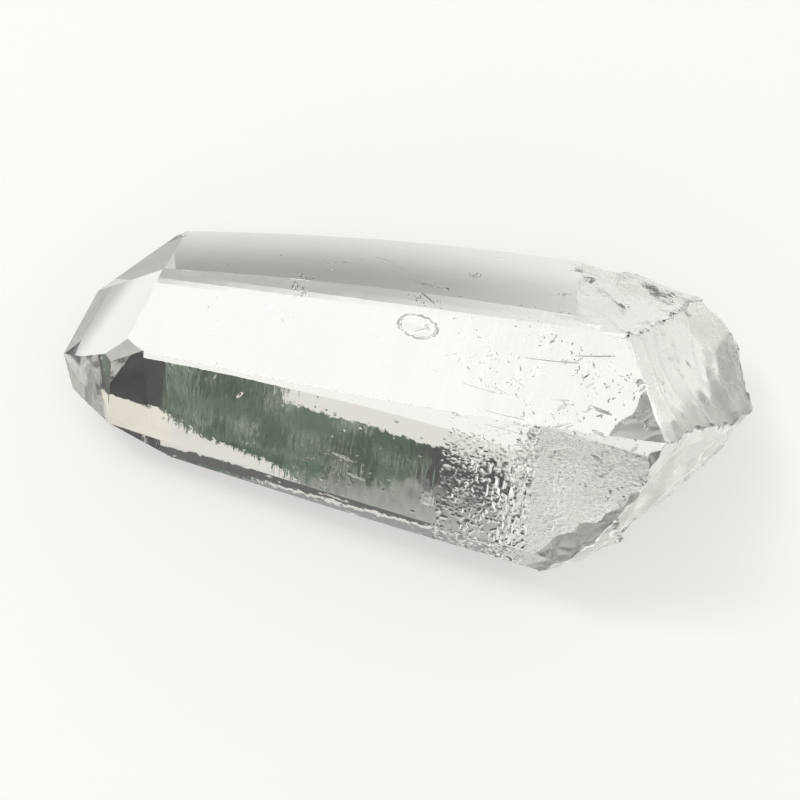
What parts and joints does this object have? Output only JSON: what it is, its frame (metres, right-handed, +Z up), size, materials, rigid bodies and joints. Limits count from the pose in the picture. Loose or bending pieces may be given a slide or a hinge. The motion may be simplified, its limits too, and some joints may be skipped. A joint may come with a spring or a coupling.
{
  "type": "lemurian quartz crystal",
  "caption": "Clear quartz point lying on a long face, six-sided and narrowing to a tip, with fine growth ledges across it and a rough broken end.",
  "frame": {"origin": "middle of the bounding box, on the surface the crystal lies on", "axes": "+X along the crystal towards its broken end, the point towards -X; +Z up; +Y towards the back"},
  "size_m": [0.087, 0.0398, 0.0324],
  "materials": {
    "clear_quartz": "glossy natural faces with fine cross ledges, clear and colourless"
  },
  "bodies": {
    "root": {"quartz_crystal": "clear_quartz"}
  },
  "joints": []
}
